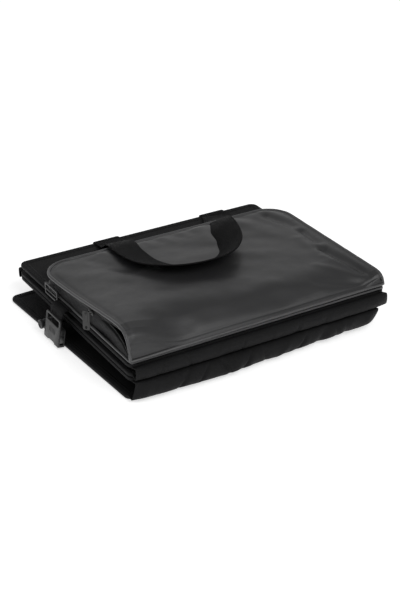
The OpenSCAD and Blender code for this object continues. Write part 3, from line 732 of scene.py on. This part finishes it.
def inward(x, y, amount):
    """A point of the wall's plan moved towards the pouch's inside."""
    cx, cy = np.clip(x, -CORE_X, CORE_X), min(y, CORE_Y)
    length = math.hypot(x - cx, y - cy)
    return x - (x - cx) / length * amount, y - (y - cy) / length * amount


wall = []
around = pouch_side(-0.2, -150.8, 90)
for x, y in around:
    top = zip_height(x, y)
    bow = math.sin(math.pi * open_share(x, y))
    for t in np.linspace(0, 1, 12):
        z = DECK + 0.8 + (top - DECK - 0.8) * t
        out = 1.3 * math.sin(math.pi * t) * (0.6 + 0.4 * ripple(x, y, 3.0, 25))
        out += 0.5 * ripple(x, y, 30 * t, 12) * t * (1 - t) * 4
        out += bow * (2.6 * math.sin(3.0 * t + 0.03 * y) - 4.0 * max(0.0, t - 0.75) / 0.25)
        wall.append((*inward(x, y, -out), z))
gusset_points, faces = cloth_shell(wall, len(around), 12, 0.9)
gusset_cloth = woven("gusset_nylon", (0.010, 0.010, 0.0105), (0.022, 0.022, 0.023), 0.8, 0.08, 0.55)
gusset = piece("pouch_gusset_wall", gusset_points, faces, gusset_cloth, sharp=60)
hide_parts("pouch_gusset")
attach(gusset, "top_panel")
floor_grid = []
for x in np.linspace(-178, 178, 60):
    for y in np.linspace(-147, 87, 44):
        px, py = eased(x, y - SKIN_MID, 358, 236, 32, front=False)
        floor_grid.append((px, py + SKIN_MID, DECK + 2.3 + 0.5 * ripple(x, y, 2.0, 30)))
lining_points, faces = cloth_shell(floor_grid, 60, 44, 0.5)
lining = piece("pouch_floor_lining", lining_points, faces, gusset_cloth, sharp=60)
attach(lining, "top_panel")


def zip_band(line, inner):
    """Tape of one zip row between two lines in the pouch's wall."""
    points = []
    for (x, y, z), (u, v, w) in zip(line, inner):
        for t in (0, 0.5, 1):
            points.append((x + (u - x) * t, y + (v - y) * t, z + (w - z) * t))
    return cloth_shell(points, len(line), 3, 0.5)


tape_black = ribbed("zip_tape", (0.004, 0.004, 0.004), (0.010, 0.010, 0.010), 0.6, 0.9, 0.08)
teeth_black, tree, shader = blank("zip_teeth", 0.32, Specular_IOR_Level=0.5)
shade = clouds(tree, 300.0, 3.0)
two_tone(tree, shader, (0.012, 0.012, 0.012), (0.05, 0.05, 0.05), (shade, 0))
rough_by(tree, shader, 0.25, 0.45, (shade, 0))
for row, body, node in (("lower", "top_panel", "zip_lower_row"), ("upper", "lid", "zip_upper_row")):
    teeth, root = [], []
    for x, y in around:
        share = open_share(x, y)
        tuck = 0.4 + 2.6 * math.sin(math.pi * share)
        z = zip_height(x, y)
        if row == "lower":
            teeth.append((*inward(x, y, tuck), z + 0.3))
            root.append((*inward(x, y, 0.2), z - 2.6 * (1 - 0.4 * share)))
        else:
            seam = edge_height(x, y) - 1.6
            droop = 7.5 * (1 - abs(2 * share - 1) ** 2 * 0.7)
            z = max(min(z + 1.9, seam - 1.5) if share == 0 else seam - droop, DECK + 4.2)
            teeth.append((*inward(x, y, tuck), z))
            root.append((*inward(x, y, 0.3), max(seam, z + 0.8)))
    band = piece(row + "_zip_tape", *zip_band(root, teeth), tape_black, sharp=60)
    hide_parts(node)
    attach(band, body)
    coil = run_of_beads(row + "_zip_teeth", [teeth], 1.6, 1.2, 2.1, teeth_black)
    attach(coil, body)

# ------------------------------------------------------------------ carrying handle
# Black polypropylene webbing, 38 mm wide, folded back at both ends and box-stitched to the
# rear border. It is stiff enough to stand in a low arch over the lid.
HANDLE_W, HANDLE_T = 38, 2.0
HANDLE_LEFT, HANDLE_SPAN, REAR = -55, 168, 155
# The handle's middle line from its left end, and the way its width lies at each point
stations = np.array([
    [-2, -12, 3.2, -1, 0, 0], [-3, -29, 6.4, -1, 0, 0], [-6, -50, 19, -1, 0, 0.05],
    [-12, -74, 26.5, -1, 0, 0.08], [-17, -105, 30, -1, -0.1, 0.15], [-14, -145, 33, -0.85, -0.5, 0.3],
    [6, -176, 36.5, -0.35, -0.8, 0.45], [40, -190, 38, 0, -0.85, 0.53], [74, -186, 38, 0.3, -0.75, 0.55],
    [98, -164, 37, 0.65, -0.45, 0.6], [113, -132, 35.5, 0.75, -0.1, 0.55], [124, -98, 31.5, 0.85, 0, 0.4],
    [138, -66, 22, 0.95, 0, 0.2], [156, -36, 8, 1, 0, 0], [165, -18, 3.4, 1, 0, 0]], float)


def between(table, u):
    """A smooth value at u along a table of stations."""
    i = min(len(table) - 2, int(u))
    a, b, c, d = (table[max(0, min(len(table) - 1, k))] for k in (i - 1, i, i + 1, i + 2))
    t = u - i
    return 0.5 * (2 * b + (c - a) * t + (2 * a - 5 * b + 4 * c - d) * t * t
                  + (3 * b - a - 3 * c + d) * t ** 3)


def webbing_ring(width, thick):
    """Cross-section of woven webbing: flat faces, rounded selvedges."""
    half, t = width / 2, thick / 2
    face = [(-half + 0.9, t), (-half * 0.6, t * 1.06), (0, t), (half * 0.6, t * 1.06), (half - 0.9, t)]
    edge = [(half - 0.25, t * 0.7), (half, 0), (half - 0.25, -t * 0.7)]
    return face + edge + [(a, -b) for a, b in reversed(face)] + [(-a, -b) for a, b in edge]


def ribbon(path, across, width, thick):
    """A webbing strap along a path with its width direction at each point, and its uv in mm."""
    path, across = np.array(path, float), np.array(across, float)
    ahead = np.gradient(path, axis=0)
    ahead /= np.linalg.norm(ahead, axis=1, keepdims=True)
    across = across - ahead * np.sum(across * ahead, axis=1, keepdims=True)
    across /= np.linalg.norm(across, axis=1, keepdims=True)
    up = np.cross(across, ahead)
    run = np.concatenate([[0], np.cumsum(np.linalg.norm(np.diff(path, axis=0), axis=1))])
    section = webbing_ring(width, thick)
    points, uv = [], []
    for p, s, u, r in zip(path, across, up, run):
        for a, b in section:
            points.append(p + s * a + u * b)
            uv.append((r, a + 100))
    rows, cols = len(path), len(section)
    return points, quads(rows, cols, wrap=True) + caps(rows, cols), uv


webbing = ribbed("handle_webbing", (0.0025, 0.0025, 0.0028), (0.010, 0.010, 0.0105), 0.75, 2.2, 0.45)
path, across = [], []
for u in np.linspace(0, len(stations) - 1, 120):
    s = between(stations, u)
    sway = 0.6 * ripple(u * 20, 0.0, 5.0, 40)
    path.append((HANDLE_LEFT + s[0] + sway, REAR + s[1], DECK + s[2] + 0.5 * ripple(u * 20, 9.0, 5.0, 30)))
    across.append(s[3:6])
points, faces, uv = ribbon(path, across, HANDLE_W, HANDLE_T)
handle = piece("carrying_handle", points, faces, webbing, sharp=60, uv=uv)
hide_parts("handle_strap")
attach(handle, "handle")
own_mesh(handle)

tab_parts, tab_uv, tab_stitches = [], [], []
for x in (HANDLE_LEFT, HANDLE_LEFT + HANDLE_SPAN):
    path = [(x, y, DECK + 1.3 + 0.15 * math.sin(y / 5)) for y in np.linspace(REAR - 39, REAR - 3.5, 14)]
    path += [(x, REAR + 0.3, DECK + 0.4), (x, REAR + 1.2, DECK - 1.2), (x, REAR + 1.3, DECK - 3.4)]
    points, faces, uv = ribbon(path, [(1, 0, 0)] * len(path), HANDLE_W, 1.9)
    tab_parts.append((points, faces))
    tab_uv += uv
    a, b, c, d = x - 15, x + 15, REAR - 35, REAR - 9
    top = DECK + 2.45
    box = [(a, c), (b, c), (b, d), (a, d), (a, c), (b, d)]
    for (p, q), (r, s) in zip(box, box[1:]):
        tab_stitches.append([(p, q, top), (r, s, top)])
    tab_stitches.append([(a, d, top), (b, c, top)])
tabs = piece("handle_sewn_ends", *joined(tab_parts), webbing, sharp=60, uv=tab_uv)
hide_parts("handle_tabs")
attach(tabs, "top_panel")
tab_thread = run_of_beads("handle_box_stitches", tab_stitches, 3.4, 2.7, 0.8, thread)
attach(tab_thread, "top_panel")

# ------------------------------------------------------------------ zip slider and pull
# Die-cast slider painted black: a shield-shaped plate over the teeth with a bridge, and a
# long tab that hangs from it by a slot. The tab has a round hole for a cord.


def cut_plate(outer, holes, thick, bevel=0.3):
    """A flat moulded plate, outline and holes in its own plane, edges rounded; z from 0 up."""
    bm = bmesh.new()
    for loop in [outer] + list(holes):
        verts = [bm.verts.new((a, b, 0)) for a, b in loop]
        for i in range(len(verts)):
            bm.edges.new((verts[i], verts[(i + 1) % len(verts)]))
    bmesh.ops.triangle_fill(bm, use_beauty=True, edges=bm.edges[:])
    got = bmesh.ops.extrude_face_region(bm, geom=bm.faces[:])
    raised = [v for v in got["geom"] if isinstance(v, bmesh.types.BMVert)]
    bmesh.ops.translate(bm, vec=(0, 0, thick), verts=raised)
    bmesh.ops.recalc_face_normals(bm, faces=bm.faces)
    sharp = [e for e in bm.edges if len(e.link_faces) == 2 and e.calc_face_angle(0) > 0.9
             and (abs(e.verts[0].co.z - e.verts[1].co.z) < 1e-6)]
    bmesh.ops.bevel(bm, geom=sharp, offset=bevel, segments=2, affect="EDGES", profile=0.5)
    bm.verts.index_update()
    result = [tuple(v.co) for v in bm.verts], [tuple(v.index for v in f.verts) for f in bm.faces]
    bm.free()
    return result


def placed(part, move):
    return [move(p) for p in part[0]], part[1]


def arc(cx, cy, r, a0, a1, n=8):
    return [(cx + r * math.cos(a), cy + r * math.sin(a)) for a in np.radians(np.linspace(a0, a1, n))]


def round_box(x0, y0, x1, y1, r, n=5):
    """Outline of a rectangle with round corners, anticlockwise."""
    return (arc(x1 - r, y1 - r, r, 0, 90, n) + arc(x0 + r, y1 - r, r, 90, 180, n)
            + arc(x0 + r, y0 + r, r, 180, 270, n) + arc(x1 - r, y0 + r, r, 270, 360, n))


def moulded(name, dark, light, rough):
    """Moulded or painted hard finish: faint orange peel, paler where it is handled."""
    finish, tree, shader = blank(name, rough, Specular_IOR_Level=0.36)
    worn = clouds(tree, 75.0, 5.0)
    relief(tree, shader, (clouds(tree, 900.0, 3.0), 0.25, 0.0001))
    two_tone(tree, shader, dark, light, (worn, 0))
    rough_by(tree, shader, rough - 0.08, rough + 0.1, (worn, 0))
    return finish


zip_paint = moulded("zip_paint", (0.020, 0.020, 0.020), (0.05, 0.05, 0.05), 0.3)
SLIDER_X, SLIDER_Z = -181.4, 68.4
ZIP_LEAN, PULL_TURN = math.radians(-4.4), math.radians(-38)
shield = arc(0, 4.3, 2.0, 0, 180, 9) + arc(0, -3.6, 3.0, 190, 350, 9)


def on_wall(p):
    """From a plate's own plane to the pouch's left wall, leaning with the zip line."""
    a, b, c = p
    return (SLIDER_X - c, SLIDER_Y + b * math.cos(ZIP_LEAN) + a * math.sin(ZIP_LEAN),
            SLIDER_Z - 0.8 + a * math.cos(ZIP_LEAN) - b * math.sin(ZIP_LEAN))


bridge = np.array([(-0.8, -3.6, -0.6), (-2.8, -2.6, -0.5), (-6.6, -0.8, -0.4), (-6.8, 1.0, -0.6),
                   (-4.0, 2.8, -0.8), (-0.8, 3.8, -1.0)]) + (SLIDER_X, SLIDER_Y, SLIDER_Z)
bridge = [between(bridge, u) for u in np.linspace(0, 5, 26)]
slider = piece("zip_slider_body", *joined([placed(cut_plate(shield, [], 1.3, 0.35), on_wall),
                                           tube(bridge, 0.75, 8)]), zip_paint, sharp=50)
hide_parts("zip_slider")
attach(slider, "slider")
tab = round_box(-4.2, -23.0, 4.2, 3.0, 2.2, 6)
tab = [(a * (0.78 + 0.22 * max(0, min(1, (b + 20) / 9))) if b > -12 else a, b) for a, b in tab]
tab_holes = [round_box(-1.9, -1.2, 1.9, 1.6, 0.8, 4)[::-1], arc(0, -19.2, 2.1, 360, 15, 14)]
tab_rib = [(2.6, -14.6), (2.3, -6.5), (2.2, -2.6)]


def on_tab(p):
    """The tab hangs turned a little, its face towards the front."""
    return (-188.6 - p[2] * math.cos(PULL_TURN) + p[0] * math.sin(PULL_TURN),
            SLIDER_Y + 0.2 + p[0] * math.cos(PULL_TURN) - p[2] * math.sin(PULL_TURN), SLIDER_Z + p[1] - 0.6)


pull_parts = [placed(cut_plate(tab, tab_holes, 1.3, 0.35), lambda p: on_tab((p[0], p[1], p[2] - 0.5)))]
for side in (-1, 1):
    pull_parts.append(tube([on_tab((side * a, b, 0.75)) for a, b in tab_rib], 0.35, 6))
pull = piece("zip_pull_tab", *joined(pull_parts), zip_paint, sharp=50)
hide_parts("zip_pull")
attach(pull, "pull")

# ------------------------------------------------------------------ document pockets
# Each panel but the lowest carries a letter pocket and a leaflet pocket: one nylon sheet sewn
# down along its sides and foot, with a taped mouth that gapes a little.
pocket_cloth = woven("pocket_nylon", (0.012, 0.012, 0.013), (0.024, 0.024, 0.026), 0.7, 0.07, 0.58)
POCKET_LIFT, POCKET_PUFF = 0.75, 1.45


def puffed(rim):
    """How full a pocket stands, from 0 along its sewn edge to 1 further in."""
    return 1 - math.exp(-max(0.0, rim - 3.5) / 4)


for key, body, side, mouth in (("second", "second_panel", -1, 1), ("third", "third_panel", 1, -1),
                               ("top", "top_panel", -1, 1)):
    for kind in ("letter", "leaflet"):
        node = f"{key}_{kind}_pocket"
        low, high = (np.array(c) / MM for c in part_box(node))
        face = low[2] if side > 0 else high[2]
        w, d = high[0] - low[0], high[1] - low[1]
        points, seams = [], []
        for i in range(50):
            for j in range(56):
                x, y = low[0] + w * i / 49, low[1] + d * j / 55
                foot_gap = y - low[1] if mouth > 0 else high[1] - y
                rim = min(x - low[0], high[0] - x, foot_gap)
                lift = POCKET_LIFT + POCKET_PUFF * puffed(rim) * (0.85 + 0.15 * ripple(x, y, low[0], 35))
                points.append((x, y, face + side * lift))
        shell, faces = cloth_shell(points, 50, 56, 0.6)
        mouth_y = high[1] if mouth > 0 else low[1]
        hem = []
        for x in np.linspace(low[0] + 1, high[0] - 1, 60):
            lift = POCKET_LIFT + POCKET_PUFF * puffed(min(x - low[0], high[0] - x))
            hem.append((x, mouth_y - mouth * 0.8, face + side * lift))
        pocket = piece(node + "_sheet", *joined([(shell, faces), tube(hem, 0.75, 8)]), pocket_cloth, sharp=60)
        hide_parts(node)
        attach(pocket, body)
        foot_y = low[1] if mouth > 0 else high[1]
        for inset in (2.2, 5.4):
            top = face + side * 1.15
            a, b, c = low[0] + inset, high[0] - inset, foot_y + mouth * inset
            ends = mouth_y - mouth * 2
            seams.append([(a, ends, top), (a, c, top), (b, c, top), (b, ends, top)])
        seams.append([(p[0], p[1] - mouth * 6, p[2] + side * 0.45) for p in hem])
        sewn = run_of_beads(node + "_stitches", seams, 4.0, 3.0, 0.6, thread)
        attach(sewn, body)

# ------------------------------------------------------------------ side strap
# A short end of 32 mm webbing, sewn under the pouch's foot and hanging over the panel's edge
# with the socket half of a side-release buckle on it.
STRAP_W, STRAP_Y, LEAN = 32, 14.4, math.radians(9)
AXIS = (-195.0, STRAP_Y, 47.6)


def hang(p):
    """From the strap's own frame (x out of the face, y along the edge, z up) to the table's."""
    x, y, z = p
    return (AXIS[0] + x * math.cos(LEAN) + z * math.sin(LEAN), AXIS[1] + y,
            AXIS[2] - x * math.sin(LEAN) + z * math.cos(LEAN))


strap_web = ribbed("strap_webbing", (0.0045, 0.0045, 0.005), (0.012, 0.012, 0.0125), 0.62, 1.8, 0.22)
path = [(x, STRAP_Y, DECK + 1.0 + 0.1 * math.sin(x)) for x in np.linspace(-161, -183.5, 12)]
path += [(-184.9, STRAP_Y, DECK + 0.95), (-185.9, STRAP_Y, DECK + 0.75)]
points, faces, uv = ribbon(path, [(0, 1, 0)] * len(path), STRAP_W, 1.5)
anchor = piece("strap_anchor_webbing", points, faces, strap_web, sharp=60, uv=uv)
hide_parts("strap_anchor")
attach(anchor, "top_panel")
route = np.array([(7.9, 0, 1.2), (5.5, 0, 1.3), (2.0, 0, 0.5), (-0.4, 0, -2.6), (-1.2, 0, -7),
                  (-1.0, 0, -11.5), (-1.0, 0, -14.8)], float)
route = [between(route, u) for u in np.linspace(0, 6, 26)]
points, faces, uv = ribbon([hang(p) for p in route], [(0, 1, 0)] * len(route), STRAP_W, 1.5)
strap = piece("side_strap_webbing", points, faces, strap_web, sharp=60, uv=uv)
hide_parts("side_strap")
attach(strap, "buckle_strap")

# ------------------------------------------------------------------ buckle socket
# Female half of a side-release buckle, moulded in black acetal: two skins joined along their
# edges, a notch in each side for the plug's arms, and a window with the webbing bar.
acetal = moulded("buckle_acetal", (0.012, 0.012, 0.0125), (0.026, 0.026, 0.027), 0.36)
half_w, mouth_z, neck_z, top_z = 20.5, -47.0, -23.0, -11.0
skin_line = (arc(half_w - 2, mouth_z + 2, 2, 270, 360, 5) + [(half_w - 0.4, neck_z)]
             + arc(half_w - 3.4, top_z - 3, 3, 0, 90, 6) + arc(-half_w + 3.4, top_z - 3, 3, 90, 180, 6)
             + [(-half_w + 0.4, neck_z)] + arc(-half_w + 2, mouth_z + 2, 2, 180, 270, 5)
             + [(-9, mouth_z), (-6, mouth_z + 1.6), (6, mouth_z + 1.6), (9, mouth_z)])
window = round_box(-15.8, -21.6, 15.8, -13.6, 1.2, 4)[::-1]
walls = [round_box(-half_w + 0.4, mouth_z + 0.3, -half_w + 5, mouth_z + 4.0, 0.8, 3),
         round_box(half_w - 5, mouth_z + 0.3, half_w - 0.4, mouth_z + 4.0, 0.8, 3),
         round_box(-half_w + 0.5, -31, -half_w + 5, neck_z - 0.1, 0.8, 3),
         round_box(half_w - 5, -31, half_w - 0.5, neck_z - 0.1, 0.8, 3),
         round_box(-half_w + 0.5, -24.9, half_w - 0.5, neck_z - 0.05, 0.8, 3)]


def buckle_face(out):
    return lambda p: hang((out - p[2], p[0], p[1]))


rear_skin = round_box(-half_w + 0.2, mouth_z, half_w - 0.2, neck_z, 2, 5)
buckle_parts = [placed(cut_plate(skin_line, [window], 1.9, 0.6), buckle_face(-3.4)),
                placed(cut_plate(rear_skin, [], 1.8, 0.5), buckle_face(3.7))]
buckle_parts += [placed(cut_plate(w, [], 6.2, 0.25), buckle_face(2.6)) for w in walls]
for y in (-7, -3.5, 0, 3.5, 7):
    grip = [hang((x, y, z)) for x, z in ((-5.35, -27.5), (-5.45, -31), (-5.35, -34.5))]
    buckle_parts.append(tube(grip, 0.35, 6))
for side in (-1, 1):
    lip_rim = [hang((-5.2, side * (half_w - a), z)) for a, z in ((1.2, -42), (1.4, -24), (2.2, -14))]
    buckle_parts.append(tube(lip_rim, 0.5, 6))
socket = piece("buckle_socket_half", *joined(buckle_parts), acetal, sharp=45)
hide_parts("buckle_socket")
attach(socket, "buckle_strap")

# ------------------------------------------------------------------ strap adjuster
# Three-bar slide for the strap's loose end, moulded like the buckle, sewn upright against
# the panel's edge.
ladder = round_box(0, 0, 36, 16, 2.2, 5)
slots = [round_box(2.8, z, 33.2, z + 4.1, 1.0, 4)[::-1] for z in (2.6, 9.3)]
LADDER_X, LADDER_Y, LADDER_Z = -185.5, 32.2, 41.6
ladder_plate = placed(cut_plate(ladder, slots, 2.2, 0.6),
                      lambda p: (LADDER_X - p[2], LADDER_Y + p[0], LADDER_Z + p[1]))
middle_bar = tube([(LADDER_X - 1.4, y, LADDER_Z + 8) for y in np.linspace(34.6, 65.8, 12)], 1.35, 10)
adjuster = piece("strap_adjuster_slide", *joined([ladder_plate, middle_bar]), acetal, sharp=45)
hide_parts("strap_adjuster")
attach(adjuster, "top_panel")

# ------------------------------------------------------------------ closing strap and plug
# The other strap, with the plug half of the buckle, is stored flat in the lowest bay.
path = [(x, -30, 11.75 + 0.12 * math.sin(x / 9)) for x in np.linspace(-150.5, -1.5, 60)]
points, faces, uv = ribbon(path, [(0, 1, 0)] * len(path), STRAP_W, 1.4)
closing = piece("closing_strap_webbing", points, faces, strap_web, sharp=60, uv=uv)
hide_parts("closing_strap")
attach(closing, "closing_strap")
hook = [(0.3, 0), (2.4, 3.2), (7.4, 4.6), (8.6, 2.2), (9.2, 1.6), (22.2, 1.4), (22.2, -1.6), (9, -1.5),
        (2, -1.6)]


def plug_at(z0, side=1, y=0.0):
    return lambda p: (-173 + p[0], -30 + side * (y + p[1]), z0 + p[2])


plug_slot = round_box(25, -16, 31, 16, 1.0, 4)[::-1]
plug_parts = [placed(cut_plate(round_box(22, -20, 34, 20, 1.8, 5), [plug_slot], 4.8, 0.6), plug_at(6.0)),
              placed(cut_plate(round_box(3, -3, 22.4, 3, 1.4, 5), [], 2.8, 0.5), plug_at(7.0))]
for side in (-1, 1):
    plug_parts.append(placed(cut_plate(hook, [], 3.8, 0.4), plug_at(6.5, side, 13.4)))
plug = piece("buckle_plug_half", *joined(plug_parts), acetal, sharp=45)
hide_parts("buckle_plug")
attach(plug, "closing_strap")

# ------------------------------------------------------------------ telescopic pole
# Three black anodised aluminium tubes, one inside the other, with moulded plugs. The pole
# stays in three elastic loops sewn to the lowest panel, its foot standing out at the left.
POLE_Y, POLE_Z, POLE_R = 45, 11.85, 5.5
anodised, tree, shader = blank("anodised_tube", 0.32, Metallic=0.85)
spot = add(tree, "ShaderNodeTexCoord")
grow = add(tree, "ShaderNodeMapping", Vector=(spot, "Object"))
grow.inputs["Scale"].default_value = (6, 900, 900)
drawn = add(tree, "ShaderNodeTexNoise", Vector=(grow, 0), Scale=1.0, Detail=3.0)
two_tone(tree, shader, (0.03, 0.03, 0.032), (0.07, 0.07, 0.074), (drawn, 0))
rough_by(tree, shader, 0.24, 0.42, (drawn, 0))
for node in ("pole_outer_tube", "pole_middle_tube", "pole_inner_tube"):
    repaint(node, anodised)
cap_plastic = moulded("cap_plastic", (0.014, 0.014, 0.015), (0.05, 0.05, 0.052), 0.4)
repaint("pole_top_plug", cap_plastic)
turning = [(-193.2, 4.5), (-204.8, 4.5), (-204.9, 5.9), (-205.3, 6.1), (-207.3, 6.1), (-207.9, 5.6),
           (-207.95, 4.7), (-207.3, 4.3), (-206.9, 3.9), (-206.9, 2.4), (-207.5, 2.1), (-207.6, 1.4),
           (-207.1, 1.0), (-207.1, 0.02)]
points = [(x, POLE_Y + r * math.cos(a), POLE_Z + r * math.sin(a))
          for x, r in turning for a in np.linspace(0, 2 * math.pi, 41)[:-1]]
faces = quads(len(turning), 40, wrap=True) + caps(len(turning), 40)
cap = piece("pole_foot_cap", points, faces, cap_plastic, sharp=35)
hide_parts("pole_end_cap")
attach(cap, "pole")
elastic = ribbed("loop_elastic", (0.008, 0.008, 0.008), (0.02, 0.02, 0.02), 0.7, 1.2, 0.2)
loops, loop_uv = [], []
for x in (-130, 0, 130):
    r = POLE_R + 0.5
    wings = (14, 11.5, 9, 7.4)
    path = [(x, POLE_Y - s, 6.0) for s in wings]
    path += [(x, POLE_Y - r * math.cos(a), POLE_Z + r * math.sin(a))
             for a in np.radians(np.linspace(-38, 218, 26))]
    path += [(x, POLE_Y + s, 6.0) for s in reversed(wings)]
    points, faces, uv = ribbon(path, [(1, 0, 0)] * len(path), 20, 0.75)
    loops.append((points, faces))
    loop_uv += uv
loop = piece("pole_elastic_loops", *joined(loops), elastic, sharp=60, uv=loop_uv)
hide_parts("pole_loops")
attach(loop, "base")
